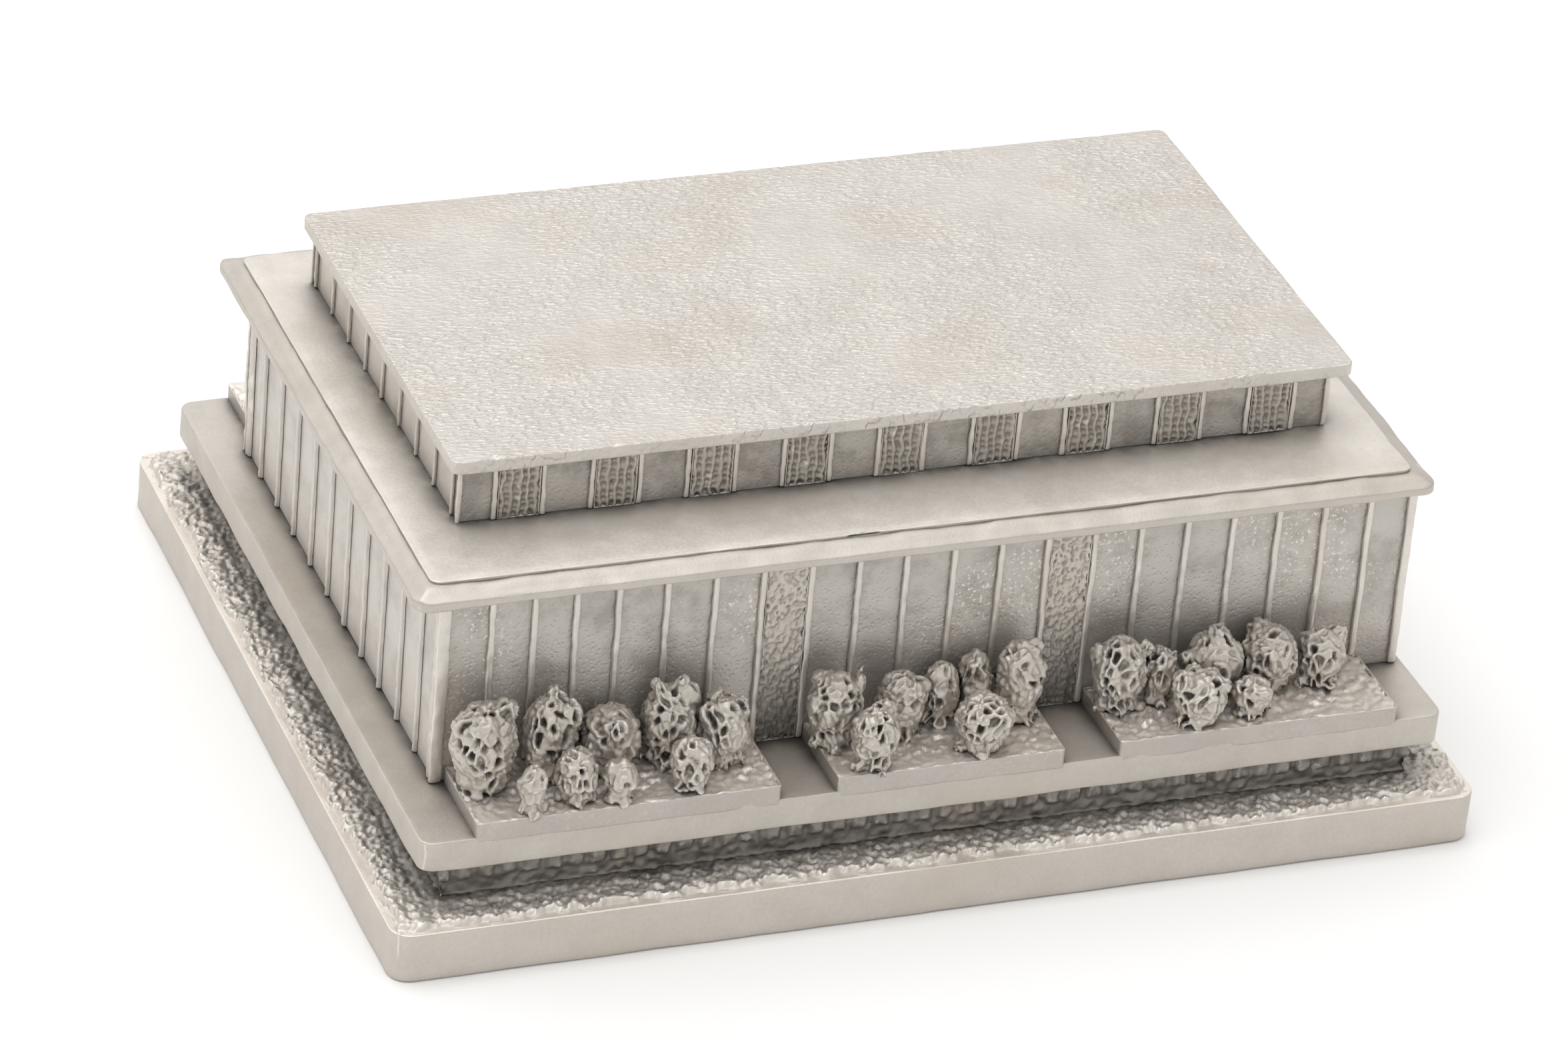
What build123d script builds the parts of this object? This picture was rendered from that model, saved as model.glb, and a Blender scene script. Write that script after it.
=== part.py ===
"""Miniature landmark model: a cast pewter concert hall on a stepped plinth, in millimetres.

X runs along the long entrance front, the front faces -Y, +Z is up, and the origin is the
middle of the underside of the plinth. Every casting is a separate solid that sits on, or
against, its neighbours.
"""

from build123d import *
import os

os.makedirs("parts", exist_ok=True)

# ---------------------------------------------------------------- driving dimensions
base_length = 90.0
base_depth = 74.0
base_height = 4.3
base_corner = 1.8
base_bevel = 0.5

ground_margin = 1.3
ground_thickness = 0.45

podium_length = 80.8
podium_depth = 66.4
podium_height = 3.0
block_pitch = 1.85
block_joint = 0.35
block_relief = 0.3

terrace_length = 84.6
terrace_depth = 68.4
terrace_thickness = 2.75
terrace_corner = 1.2

bed_height = 1.3
bed_left = -38.0
bed_right = 38.2

# The hall stands a little right of the middle of its terrace, as the castings were set.
hall_left = -39.2
hall_right = 41.6
hall_front = -26.2
hall_rear = 25.6
hall_height = 17.0
wall_thickness = 1.8
rib_width = 0.6
rib_proud = 0.45
pier_width = 1.1
right_pier_width = 0.8

bay = 3.9
corner_bay = 3.35
left_corner_bays = 4
full_bays = 16
first_rib = -38.2
door_bays = (7, 13)
side_bays = 11

cornice_length = 84.0
cornice_depth = 55.0
cornice_shift = -1.3
cornice_thickness = 1.45
cornice_slope_rise = 0.6
cornice_slope_run = 1.6

deck_length = 80.6
deck_depth = 51.6
deck_thickness = 0.25

penthouse_length = 72.2
penthouse_depth = 38.8
penthouse_height = 4.75
penthouse_wall = 1.5
fin_width = 0.5
fin_proud = 0.35
penthouse_bay = 3.88
penthouse_bays = 17
side_fin_pitch = 4.52
side_fins = 9
first_side_fin = -17.85

roof_length = 74.4
roof_depth = 40.4
roof_shift = 0.4
roof_thickness = 1.15

curb_height = 0.6
curb_gap = 0.2

# ---------------------------------------------------------------- levels and planes
ground_level = base_height
podium_level = ground_level + ground_thickness
terrace_level = podium_level + podium_height
hall_level = terrace_level + terrace_thickness
bed_level = hall_level + bed_height
cornice_level = hall_level + hall_height
deck_level = cornice_level + cornice_thickness
penthouse_level = deck_level + deck_thickness
roof_level = penthouse_level + penthouse_height

hall_middle = ((hall_left + hall_right) / 2, (hall_front + hall_rear) / 2)
panel_left = hall_left + rib_proud
panel_right = hall_right - rib_proud
panel_front = hall_front + rib_proud
panel_rear = hall_rear - rib_proud

fin_front = -penthouse_depth / 2
penthouse_front = fin_front + fin_proud
penthouse_side = penthouse_length / 2 - fin_proud


def finish_piece(piece, label):
    """Name a finished casting and write it out."""
    piece.part.label = label
    export_step(piece.part, f"parts/{label}.step")


def block(x_range, y_range, z_range):
    """Add a rectangular block between three pairs of limits to the part being built."""
    middle = [(low + high) / 2 for low, high in (x_range, y_range, z_range)]
    size = [high - low for low, high in (x_range, y_range, z_range)]
    with Locations(tuple(middle)):
        Box(*size)


# ---------------------------------------------------------------- plinth, ground and podium
with BuildPart() as base_plinth:
    with BuildSketch():
        RectangleRounded(base_length, base_depth, base_corner)
    extrude(amount=base_height)
    chamfer(base_plinth.faces().sort_by(Axis.Z)[-1].edges(), base_bevel)
finish_piece(base_plinth, "base_plinth")

with BuildPart() as ground_slab:
    with BuildSketch(Plane.XY.offset(ground_level)):
        RectangleRounded(
            base_length - 2 * ground_margin, base_depth - 2 * ground_margin, base_corner / 2
        )
    extrude(amount=ground_thickness)
finish_piece(ground_slab, "ground_slab")

# A course of square blocks runs round the podium: shallow upright joints part them.
front_blocks = int(podium_length / block_pitch)
side_blocks = int(podium_depth / block_pitch)
with BuildPart() as podium:
    with BuildSketch(Plane.XY.offset(podium_level)):
        Rectangle(podium_length, podium_depth)
        with GridLocations(block_pitch, podium_depth, front_blocks, 2):
            Rectangle(block_joint, 2 * block_relief, mode=Mode.SUBTRACT)
        with GridLocations(podium_length, block_pitch, 2, side_blocks):
            Rectangle(2 * block_relief, block_joint, mode=Mode.SUBTRACT)
    extrude(amount=podium_height)
finish_piece(podium, "podium")

# ---------------------------------------------------------------- terrace and planting beds
inside_hall = (
    panel_right - panel_left - 2 * (wall_thickness + curb_gap),
    panel_rear - panel_front - 2 * (wall_thickness + curb_gap),
)
with BuildPart() as terrace_slab:
    with BuildSketch(Plane.XY.offset(terrace_level)):
        RectangleRounded(terrace_length, terrace_depth, terrace_corner)
    extrude(amount=terrace_thickness)
    fillet(terrace_slab.faces().sort_by(Axis.Z)[0].edges(), 0.4)
    with BuildSketch(Plane.XY.offset(hall_level)):
        with Locations(hall_middle):
            Rectangle(*inside_hall)
    extrude(amount=curb_height)
finish_piece(terrace_slab, "terrace_slab")


def front_rib_positions():
    """Middles of the ribs along the long sides: four narrower bays, sixteen full, one narrower."""
    ribs = [first_rib + corner_bay * n for n in range(left_corner_bays)]
    start = first_rib + corner_bay * left_corner_bays
    ribs += [start + bay * n for n in range(full_bays + 1)]
    return ribs


front_ribs = front_rib_positions()
doors = [(front_ribs[n], front_ribs[n + 1]) for n in door_bays]
half_rib = rib_width / 2
bed_spans = {
    "left": (bed_left, doors[0][0] - half_rib),
    "centre": (doors[0][1] + half_rib, doors[1][0] - half_rib),
    "right": (doors[1][1] + half_rib, bed_right),
}
bed_outer = terrace_depth / 2
bed_rows = {"front": (-bed_outer, panel_front), "rear": (panel_rear, bed_outer)}

for row, y_range in bed_rows.items():
    for side, x_range in bed_spans.items():
        with BuildPart() as planting_bed:
            block(x_range, y_range, (hall_level, bed_level))
            outer_edge = planting_bed.faces().sort_by(Axis.Z)[-1].edges().filter_by(Axis.X)
            fillet(outer_edge.sort_by(Axis.Y)[0 if row == "front" else -1], 0.35)
        finish_piece(planting_bed, f"{row}_bed_{side}")

# ---------------------------------------------------------------- hall walls, ribs and doors
hall_top = cornice_level
wall_heights = (hall_level, hall_top)
inner_front = panel_front + wall_thickness
inner_rear = panel_rear - wall_thickness
hall_walls = {
    "hall_front_wall": ((panel_left, panel_right), (panel_front, inner_front)),
    "hall_rear_wall": ((panel_left, panel_right), (inner_rear, panel_rear)),
    "hall_left_wall": ((panel_left, panel_left + wall_thickness), (inner_front, inner_rear)),
    "hall_right_wall": ((panel_right - wall_thickness, panel_right), (inner_front, inner_rear)),
}
for label, (x_range, y_range) in hall_walls.items():
    with BuildPart() as hall_wall:
        block(x_range, y_range, wall_heights)
    finish_piece(hall_wall, label)


def rib_foot(x):
    """A rib stands on a planting bed where there is one, and on the terrace elsewhere."""
    over_bed = any(low < x < high for low, high in bed_spans.values())
    return bed_level if over_bed else hall_level


for label, y_range in {
    "hall_front_ribs": (hall_front, panel_front),
    "hall_rear_ribs": (panel_rear, hall_rear),
}.items():
    with BuildPart() as long_ribs:
        for x in front_ribs[1:]:
            block((x - half_rib, x + half_rib), y_range, (rib_foot(x), hall_top))
        block((hall_left, hall_left + pier_width), y_range, wall_heights)
        block((hall_right - right_pier_width, hall_right), y_range, wall_heights)
    finish_piece(long_ribs, label)

side_bay = (hall_rear - hall_front) / side_bays
for label, x_range in {
    "hall_left_ribs": (hall_left, panel_left),
    "hall_right_ribs": (panel_right, hall_right),
}.items():
    with BuildPart() as side_ribs:
        for n in range(1, side_bays):
            y = hall_front + side_bay * n
            block(x_range, (y - half_rib, y + half_rib), wall_heights)
        block(x_range, (panel_front, panel_front + pier_width), wall_heights)
        block(x_range, (panel_rear - pier_width, panel_rear), wall_heights)
    finish_piece(side_ribs, label)

# Each door is a pierced grille between two ribs: four columns of small square pits.
grille_thickness = 0.3
grille_columns = 4
grille_rows = 22
pit = 0.42
for label, face in {"front_door_grilles": panel_front, "rear_door_grilles": panel_rear}.items():
    outward = -1 if face < 0 else 1
    with BuildPart() as door_grilles:
        for left_jamb, right_jamb in doors:
            width = right_jamb - left_jamb - rib_width
            plane = Plane(
                origin=((left_jamb + right_jamb) / 2, face, hall_level + hall_height / 2),
                x_dir=(1, 0, 0),
                z_dir=(0, outward, 0),
            )
            with BuildSketch(plane):
                Rectangle(width, hall_height)
            extrude(amount=grille_thickness)
            with BuildSketch(plane.offset(grille_thickness)):
                with GridLocations(
                    width / grille_columns, hall_height / grille_rows, grille_columns, grille_rows
                ):
                    Rectangle(pit, pit)
            extrude(amount=-grille_thickness / 2, mode=Mode.SUBTRACT)
    finish_piece(door_grilles, label)

# ---------------------------------------------------------------- cornice and deck
with BuildPart() as cornice_slab:
    with BuildSketch(Plane.XY.offset(cornice_level)):
        with Locations((0, cornice_shift)):
            RectangleRounded(cornice_length, cornice_depth, 1.4)
    extrude(amount=cornice_thickness - cornice_slope_rise)
    with BuildSketch(Plane.XY.offset(deck_level - cornice_slope_rise)) as ledge_foot:
        with Locations((0, cornice_shift)):
            RectangleRounded(cornice_length, cornice_depth, 1.4)
    with BuildSketch(Plane.XY.offset(deck_level)) as ledge_top:
        with Locations((0, cornice_shift)):
            RectangleRounded(
                cornice_length - 2 * cornice_slope_run, cornice_depth - 2 * cornice_slope_run, 0.8
            )
    loft([ledge_foot.sketch.face(), ledge_top.sketch.face()])
    with BuildSketch(Plane.XY.offset(cornice_level)):
        with Locations(hall_middle):
            Rectangle(*inside_hall)
    extrude(amount=-curb_height)
finish_piece(cornice_slab, "cornice_slab")

with BuildPart() as deck_panel:
    with BuildSketch(Plane.XY.offset(deck_level)):
        with Locations((0, cornice_shift)):
            RectangleRounded(deck_length, deck_depth, 0.8)
    extrude(amount=deck_thickness)
    fillet(deck_panel.faces().sort_by(Axis.Z)[-1].edges(), 0.18)
finish_piece(deck_panel, "deck_panel")

# ---------------------------------------------------------------- penthouse
fin_heights = (penthouse_level, roof_level)
inner_side = penthouse_side - penthouse_wall
inner_y = penthouse_front + penthouse_wall
penthouse_walls = {
    "penthouse_front_wall": ((-penthouse_side, penthouse_side), (penthouse_front, inner_y)),
    "penthouse_rear_wall": ((-penthouse_side, penthouse_side), (-inner_y, -penthouse_front)),
    "penthouse_left_wall": ((-penthouse_side, -inner_side), (inner_y, -inner_y)),
    "penthouse_right_wall": ((inner_side, penthouse_side), (inner_y, -inner_y)),
}
for label, (x_range, y_range) in penthouse_walls.items():
    with BuildPart() as penthouse_wall_plate:
        block(x_range, y_range, fin_heights)
    finish_piece(penthouse_wall_plate, label)

half_fin = fin_width / 2
corner_fin = penthouse_length / 2 - half_fin
inner_fins = [penthouse_bay * (n - penthouse_bays / 2) for n in range(penthouse_bays + 1)]
long_fins = [-corner_fin, *inner_fins, corner_fin]
for label, y_range in {
    "penthouse_front_fins": (fin_front, penthouse_front),
    "penthouse_rear_fins": (-penthouse_front, -fin_front),
}.items():
    with BuildPart() as fins:
        for x in long_fins:
            block((x - half_fin, x + half_fin), y_range, fin_heights)
    finish_piece(fins, label)

short_fins = [first_side_fin + side_fin_pitch * n for n in range(side_fins)]
for label, outward in {"penthouse_left_fins": -1, "penthouse_right_fins": 1}.items():
    x_range = sorted((outward * penthouse_side, outward * penthouse_length / 2))
    with BuildPart() as fins:
        for y in short_fins:
            block(x_range, (y - half_fin, y + half_fin), fin_heights)
    finish_piece(fins, label)

# Every second bay of the long penthouse sides holds a louvre of three upright bars.
louvre_plate = 0.15
louvre_bar = 0.3
louvre_bars = 3
for label, outward in {"penthouse_front_louvres": -1, "penthouse_rear_louvres": 1}.items():
    face = outward * -penthouse_front
    with BuildPart() as louvres:
        for n in range(1, len(long_fins) - 1, 2):
            low, high = long_fins[n] + half_fin, long_fins[n + 1] - half_fin
            block((low, high), sorted((face, face + outward * louvre_plate)), fin_heights)
            for bar in range(louvre_bars):
                x = low + (high - low) * (bar + 1) / (louvre_bars + 1)
                block(
                    (x - louvre_bar / 2, x + louvre_bar / 2),
                    sorted((face, face + outward * louvre_bar)),
                    fin_heights,
                )
    finish_piece(louvres, label)

# ---------------------------------------------------------------- roof
with BuildPart() as roof_slab:
    with BuildSketch(Plane.XY.offset(roof_level)):
        with Locations((roof_shift, 0)):
            RectangleRounded(roof_length, roof_depth, 0.9)
    extrude(amount=roof_thickness)
    fillet(roof_slab.faces().sort_by(Axis.Z)[-1].edges(), 0.3)
    fillet(roof_slab.faces().sort_by(Axis.Z)[0].edges(), 0.2)
    with BuildSketch(Plane.XY.offset(roof_level)):
        Rectangle(2 * (inner_side - curb_gap), -2 * (inner_y + curb_gap))
    extrude(amount=-curb_height)
finish_piece(roof_slab, "roof_slab")

# ---------------------------------------------------------------- shrubs
# (distance along X, distance out from the wall, radius, height) of each lump of planting.
front_shrubs = {
    "left": [
        (-36.0, 3.25, 2.6, 7.3),
        (-30.6, 2.75, 2.15, 6.9),
        (-25.75, 2.9, 2.4, 5.4),
        (-21.0, 2.75, 2.2, 6.6),
        (-16.9, 3.85, 2.0, 5.5),
        (-33.3, 7.35, 1.1, 3.6),
        (-29.6, 6.55, 1.7, 4.4),
        (-26.2, 7.15, 1.3, 3.3),
        (-20.4, 6.85, 1.7, 4.3),
    ],
    "centre": [
        (-7.5, 3.05, 2.2, 6.0),
        (-5.6, 7.05, 1.9, 5.0),
        (-2.0, 3.05, 1.95, 5.4),
        (1.6, 2.05, 1.5, 5.2),
        (4.4, 1.95, 1.3, 5.9),
        (7.8, 2.85, 1.95, 6.8),
        (3.6, 6.45, 2.2, 4.7),
    ],
    "right": [
        (16.1, 3.25, 2.2, 6.2),
        (19.7, 3.05, 1.35, 4.8),
        (24.4, 2.85, 2.3, 5.3),
        (29.1, 2.85, 2.3, 5.2),
        (33.4, 3.25, 1.95, 4.8),
        (21.7, 6.55, 2.15, 4.3),
        (26.3, 6.35, 1.6, 3.1),
    ],
}


def shrub_lump(place, radius, height):
    """Add one rounded lump: a narrow foot, a belly at mid height and a domed top."""
    with BuildSketch(Plane(origin=place, x_dir=(1, 0, 0), z_dir=(0, -1, 0))) as profile:
        with BuildLine():
            Polyline((0, height), (0, 0), (0.6 * radius, 0))
            Spline((0.6 * radius, 0), (radius, 0.5 * height), (0, height), tangents=((1, 1), (-1, 0)))
        make_face()
    revolve(profile.sketch, axis=Axis(place, (0, 0, 1)))


for side, lumps in front_shrubs.items():
    for number, (x, out, radius, height) in enumerate(lumps, start=1):
        with BuildPart() as shrub:
            shrub_lump((x, panel_front - out, bed_level), radius, height)
        finish_piece(shrub, f"shrub_{side}_{number}")

# The rear beds are planted with a plainer row of the same lumps.
rear_lump = (2.0, 4.6)
rear_lump_pitch = 4.9
for side, (low, high) in bed_spans.items():
    count = int((high - low) / rear_lump_pitch)
    with BuildPart() as rear_row:
        for n in range(count):
            x = low + (high - low) * (n + 0.5) / count
            shrub_lump((x, panel_rear + 3.6, bed_level), *rear_lump)
    finish_piece(rear_row, f"rear_shrubs_{side}")
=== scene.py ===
"""Looks of the cast pewter landmark model: soft cast edges, planted beds, patina and studio.

Shapes are worked out in millimetres from the CAD boxes and written to Blender in metres.
"""

import math
from itertools import product

import bmesh
import bpy
import numpy as np
from mathutils import Matrix, Vector


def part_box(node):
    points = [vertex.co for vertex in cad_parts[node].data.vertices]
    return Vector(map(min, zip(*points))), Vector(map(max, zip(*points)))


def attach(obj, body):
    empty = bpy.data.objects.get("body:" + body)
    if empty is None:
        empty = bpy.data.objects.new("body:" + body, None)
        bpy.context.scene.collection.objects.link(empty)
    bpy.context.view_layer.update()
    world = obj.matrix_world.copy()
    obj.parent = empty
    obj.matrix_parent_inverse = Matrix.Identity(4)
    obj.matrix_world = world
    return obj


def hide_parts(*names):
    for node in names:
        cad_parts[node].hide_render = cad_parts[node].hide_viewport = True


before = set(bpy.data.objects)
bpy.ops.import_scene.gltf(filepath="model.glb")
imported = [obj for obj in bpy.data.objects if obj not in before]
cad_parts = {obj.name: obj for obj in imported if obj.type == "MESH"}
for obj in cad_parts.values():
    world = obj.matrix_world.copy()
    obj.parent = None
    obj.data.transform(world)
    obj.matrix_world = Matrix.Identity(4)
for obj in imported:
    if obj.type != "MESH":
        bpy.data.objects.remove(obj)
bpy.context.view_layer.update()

MM = 0.001


def box_mm(node):
    """Lowest and highest corner of a CAD node, in millimetres."""
    low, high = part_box(node)
    return np.array(low) / MM, np.array(high) / MM


# ---------------------------------------------------------------- camera
CAMERA_AIM = (-1.4, -0.2, 13.8)
CAMERA_DISTANCE = 591.4
CAMERA_AZIMUTH = -22.25
CAMERA_ELEVATION = 30.51
CAMERA_ROLL = 5.16
CAMERA_LENS = 168.7


def make_camera():
    """A long lens looking down on the near left corner, tipped a little to one side."""
    azimuth, elevation = math.radians(CAMERA_AZIMUTH), math.radians(CAMERA_ELEVATION)
    back = Vector(
        (
            math.sin(azimuth) * math.cos(elevation),
            -math.cos(azimuth) * math.cos(elevation),
            math.sin(elevation),
        )
    )
    data = bpy.data.cameras.new("camera")
    data.sensor_width = 36.0
    data.lens = CAMERA_LENS
    data.clip_start, data.clip_end = 0.02, 20.0
    camera = bpy.data.objects.new("camera", data)
    bpy.context.scene.collection.objects.link(camera)
    turn = (-back).to_track_quat("-Z", "Y").to_matrix().to_4x4()
    roll = Matrix.Rotation(math.radians(CAMERA_ROLL), 4, "Z")
    place = Matrix.Translation((Vector(CAMERA_AIM) + back * CAMERA_DISTANCE) * MM)
    camera.matrix_world = place @ turn @ roll
    bpy.context.scene.camera = camera


# ---------------------------------------------------------------- noise and small helpers
# Large odd numbers that scramble a grain's place into a number that looks random.
PLACE_MIX = (73856093, 19349663, 83492791)
FIRST_SCRAMBLE = 1274126177
SECOND_SCRAMBLE = 668265263
LOW_32_BITS = 0xFFFFFFFF
LOW_10_BITS = 0x3FF
SEED_SHIFT = 19.7


def grain_field(points, size, seed=0):
    """Smooth random values, about -0.5 to 0.5, over points; size is the width of one grain."""
    scaled = points / size + seed * SEED_SHIFT
    cell = np.floor(scaled).astype(np.int64)
    inside = scaled - cell
    blend = inside * inside * inside * (inside * (inside * 6 - 15) + 10)
    total = np.zeros(len(points))
    for corner in product((0, 1), repeat=3):
        at = cell + np.array(corner)
        mixed = (at[:, 0] * PLACE_MIX[0]) ^ (at[:, 1] * PLACE_MIX[1]) ^ (at[:, 2] * PLACE_MIX[2])
        mixed = (mixed ^ (mixed >> 13)) * FIRST_SCRAMBLE & LOW_32_BITS
        mixed = (mixed ^ (mixed >> 16)) * SECOND_SCRAMBLE & LOW_32_BITS
        slopes = [((mixed >> shift) & LOW_10_BITS) / 511.5 - 1.0 for shift in (0, 10, 20)]
        slope = np.stack(slopes, axis=1)
        offset = inside - np.array(corner)
        weight = np.prod(np.where(np.array(corner) == 1, blend, 1 - blend), axis=1)
        total += weight * (slope * offset).sum(axis=1)
    return total


def layered_grain(points, size, seed=0, layers=3):
    """Several sizes of grain added up, each half the size and half the strength."""
    return sum(grain_field(points, size / 2**n, seed + 7 * n) / 2**n for n in range(layers))


def ramp(values, low, high):
    """0 below low, 1 above high, and a smooth rise between."""
    t = np.clip((values - low) / (high - low), 0.0, 1.0)
    return t * t * (3 - 2 * t)


def inside_rim(points, low, high):
    """How far each point lies inside a box's four upright sides; negative outside them."""
    return np.minimum(
        np.minimum(points[:, 0] - low[0], high[0] - points[:, 0]),
        np.minimum(points[:, 1] - low[1], high[1] - points[:, 1]),
    )


def lowered(points, depth):
    """The points moved down by their own depths."""
    return points - np.array([0, 0, 1]) * depth[:, None]


def new_piece(name, points, faces, material, nodes):
    """A mesh in millimetres becomes a named piece that stands for its CAD nodes."""
    mesh = bpy.data.meshes.new(name)
    mesh.from_pydata((points * MM).tolist(), [], faces)
    mesh.polygons.foreach_set("use_smooth", [True] * len(mesh.polygons))
    mesh.update()
    piece = bpy.data.objects.new(name, mesh)
    bpy.context.scene.collection.objects.link(piece)
    piece.data.materials.append(material)
    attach(piece, "root")
    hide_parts(*nodes)
    return piece


# ---------------------------------------------------------------- soft cast blocks
RIM_STEPS = 3
CORNER_STEPS = 4
# A rounding takes at most this share of the block's least width.
WIDEST_ROUNDING = 0.45


def stations(low, high, rim, corner, step):
    """Places along one edge: close together in the rounded parts, evenly spread between."""
    span = high - low
    near = [low + rim * n / RIM_STEPS for n in range(RIM_STEPS + 1)]
    if corner > rim:
        near += [low + rim + (corner - rim) * n / CORNER_STEPS for n in range(1, CORNER_STEPS + 1)]
    turned = max(rim, corner)
    count = max(1, math.ceil((span - 2 * turned) / step))
    middle = [low + turned + (span - 2 * turned) * n / count for n in range(1, count)]
    return np.array(near + middle + [low + high - v for v in reversed(near)])


def round_block(points, low, high, edge, corner, round_caps):
    """Round a box's upright corners in plan and then its rims; gives points and normals."""
    core = np.clip(points[:, :2], (low + corner)[:2], (high - corner)[:2])
    out = points[:, :2] - core
    reach = np.abs(out).max(axis=1)
    length = np.maximum(np.linalg.norm(out, axis=1), 1e-9)
    direction = out / length[:, None]
    middle, half = (low[2] + high[2]) / 2, (high[2] - low[2]) / 2
    side = np.sign(points[:, 2] - middle)
    beside = np.clip(reach - (corner - edge), 0, None)
    above = np.clip(np.abs(points[:, 2] - middle) - (half - edge), 0, None)
    if round_caps:
        both = np.maximum(np.hypot(beside, above), 1e-9)
        pull = np.where((beside > 0) & (above > 0), np.maximum(beside, above) / both, 1.0)
    else:
        pull = np.ones(len(points))
    normals = np.column_stack([direction * beside[:, None], side * above])
    normals /= np.maximum(np.linalg.norm(normals, axis=1), 1e-9)[:, None]
    reach = np.where(beside > 0, corner - edge + beside * pull, reach)
    level = np.where(above > 0, middle + side * (half - edge + above * pull), points[:, 2])
    return np.column_stack([core + direction * reach[:, None], level]), normals


def soft_block(low, high, edge, step, corner=0.0, relief=None, grid_caps=True):
    """Points and faces of a block with rounded edges.

    relief(points, normals) moves its skin. Without grid_caps the top and bottom are flat faces.
    """
    low, high = np.array(low, float), np.array(high, float)
    edge = min(edge, WIDEST_ROUNDING * (high - low).min())
    corner = min(max(corner, edge), WIDEST_ROUNDING * (high - low)[:2].min())
    lines = [stations(low[a], high[a], edge, corner if a < 2 else 0.0, step[a]) for a in range(3)]
    count = [len(line) for line in lines]
    index = -np.ones(count, dtype=np.int64)
    skin = np.zeros(count, dtype=bool)
    for axis in (0, 1, 2) if grid_caps else (0, 1):
        for end in (0, -1):
            where = [slice(None)] * 3
            where[axis] = end
            skin[tuple(where)] = True
    index[skin] = np.arange(skin.sum())
    at = np.argwhere(skin)
    points = np.stack([lines[a][at[:, a]] for a in range(3)], axis=1)

    faces = []
    for axis in (0, 1, 2) if grid_caps else (0, 1):
        for end in (0, -1):
            sheet = index[end] if axis == 0 else index[:, end] if axis == 1 else index[:, :, end]
            quads = np.stack(
                [sheet[:-1, :-1], sheet[1:, :-1], sheet[1:, 1:], sheet[:-1, 1:]], axis=-1
            ).reshape(-1, 4)
            if (end == 0) != (axis == 1):
                quads = quads[:, ::-1]
            faces += quads.tolist()
    if not grid_caps:
        for end in (0, -1):
            sheet = index[:, :, end]
            loop = [*sheet[:, 0], *sheet[-1, 1:], *sheet[-2::-1, -1], *sheet[0, -2:0:-1]]
            faces.append([int(i) for i in (loop if end == -1 else loop[::-1])])

    points, normals = round_block(points, low, high, edge, corner, grid_caps)
    if relief:
        points = relief(points, normals)
    return points, faces


def cast_skin(depth, size=3.0, seed=0):
    """Relief for a slightly uneven cast surface: it only ever sinks in."""

    def relief(points, normals):
        sink = depth * (0.5 + layered_grain(points, size, seed))
        return points - normals * np.clip(sink, 0, None)[:, None]

    return relief


def join_meshes(parts):
    """Several (points, faces) pairs as one."""
    points, faces, start = [], [], 0
    for some_points, some_faces in parts:
        points.append(some_points)
        faces += [[i + start for i in face] for face in some_faces]
        start += len(some_points)
    return np.concatenate(points), faces


# ---------------------------------------------------------------- material building blocks
def socket(group, name, kind, is_output=False, default=None):
    """Add a named input or output to a node group."""
    made = group.interface.new_socket(
        name=name, in_out="OUTPUT" if is_output else "INPUT", socket_type=kind
    )
    if default is not None:
        made.default_value = default


class Wiring:
    """Short ways to add and join nodes in one node tree."""

    def __init__(self, tree):
        self.tree = tree

    def node(self, kind, inputs=None, **settings):
        """A new node with its settings made and its named inputs fed."""
        made = self.tree.nodes.new(kind)
        for key, value in settings.items():
            setattr(made, key, value)
        for key, value in (inputs or {}).items():
            self.feed(made.inputs[key], value)
        return made

    def feed(self, target, value):
        """Join another socket to an input, or set the input's plain value."""
        if isinstance(value, bpy.types.NodeSocket):
            self.tree.links.new(value, target)
        else:
            target.default_value = value

    def math(self, operation, a, b=0.0, clamp=False):
        """One arithmetic step on two values."""
        made = self.node("ShaderNodeMath", operation=operation, use_clamp=clamp)
        self.feed(made.inputs[0], a)
        self.feed(made.inputs[1], b)
        return made.outputs[0]

    def mix(self, amount, a, b):
        """Colour a where the amount is 0, colour b where it is 1."""
        made = self.node("ShaderNodeMix", data_type="RGBA")
        self.feed(made.inputs[0], amount)
        self.feed(made.inputs[6], a)
        self.feed(made.inputs[7], b)
        return made.outputs[2]

    def spread(self, value, low, high, to_low=0.0, to_high=1.0):
        """A smooth step: to_low where the value is at low, to_high where it is at high."""
        made = self.node("ShaderNodeMapRange", interpolation_type="SMOOTHSTEP")
        for key, each in enumerate((value, low, high, to_low, to_high)):
            self.feed(made.inputs[key], each)
        return made.outputs[0]

    def noise(self, at, scale, detail=2.0, roughness=0.5):
        """Soft cloudy values from about 0 to 1."""
        made = self.node(
            "ShaderNodeTexNoise",
            {"Vector": at, "Scale": scale, "Detail": detail, "Roughness": roughness},
        )
        return made.outputs["Fac"]


def millimetres(wire):
    """Object coordinates scaled to millimetres."""
    place = wire.node("ShaderNodeTexCoord").outputs["Object"]
    scaled = wire.node("ShaderNodeVectorMath", operation="SCALE")
    wire.feed(scaled.inputs[0], place)
    scaled.inputs["Scale"].default_value = 1 / MM
    return scaled.outputs[0]


WARM_TARNISH = (0.56, 0.49, 0.41, 1)
FRESHLY_RUBBED = (0.78, 0.745, 0.70, 1)

# The antique finish's plain numbers, with lengths in millimetres.
FINISH_NUMBERS = {
    "Patina": 1.0,
    "Reach": 2.5,
    "Mottle": 0.5,
    "Grain Size": 0.25,
    "Grain Depth": 1.0,
    "Rubbed": 0.5,
    "Specks": 0.0,
    "Top Wear": 0.0,
    "Foot Level": 10.5,
    "Foot Rise": 5.0,
    "Foot Soot": 0.0,
}


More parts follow.
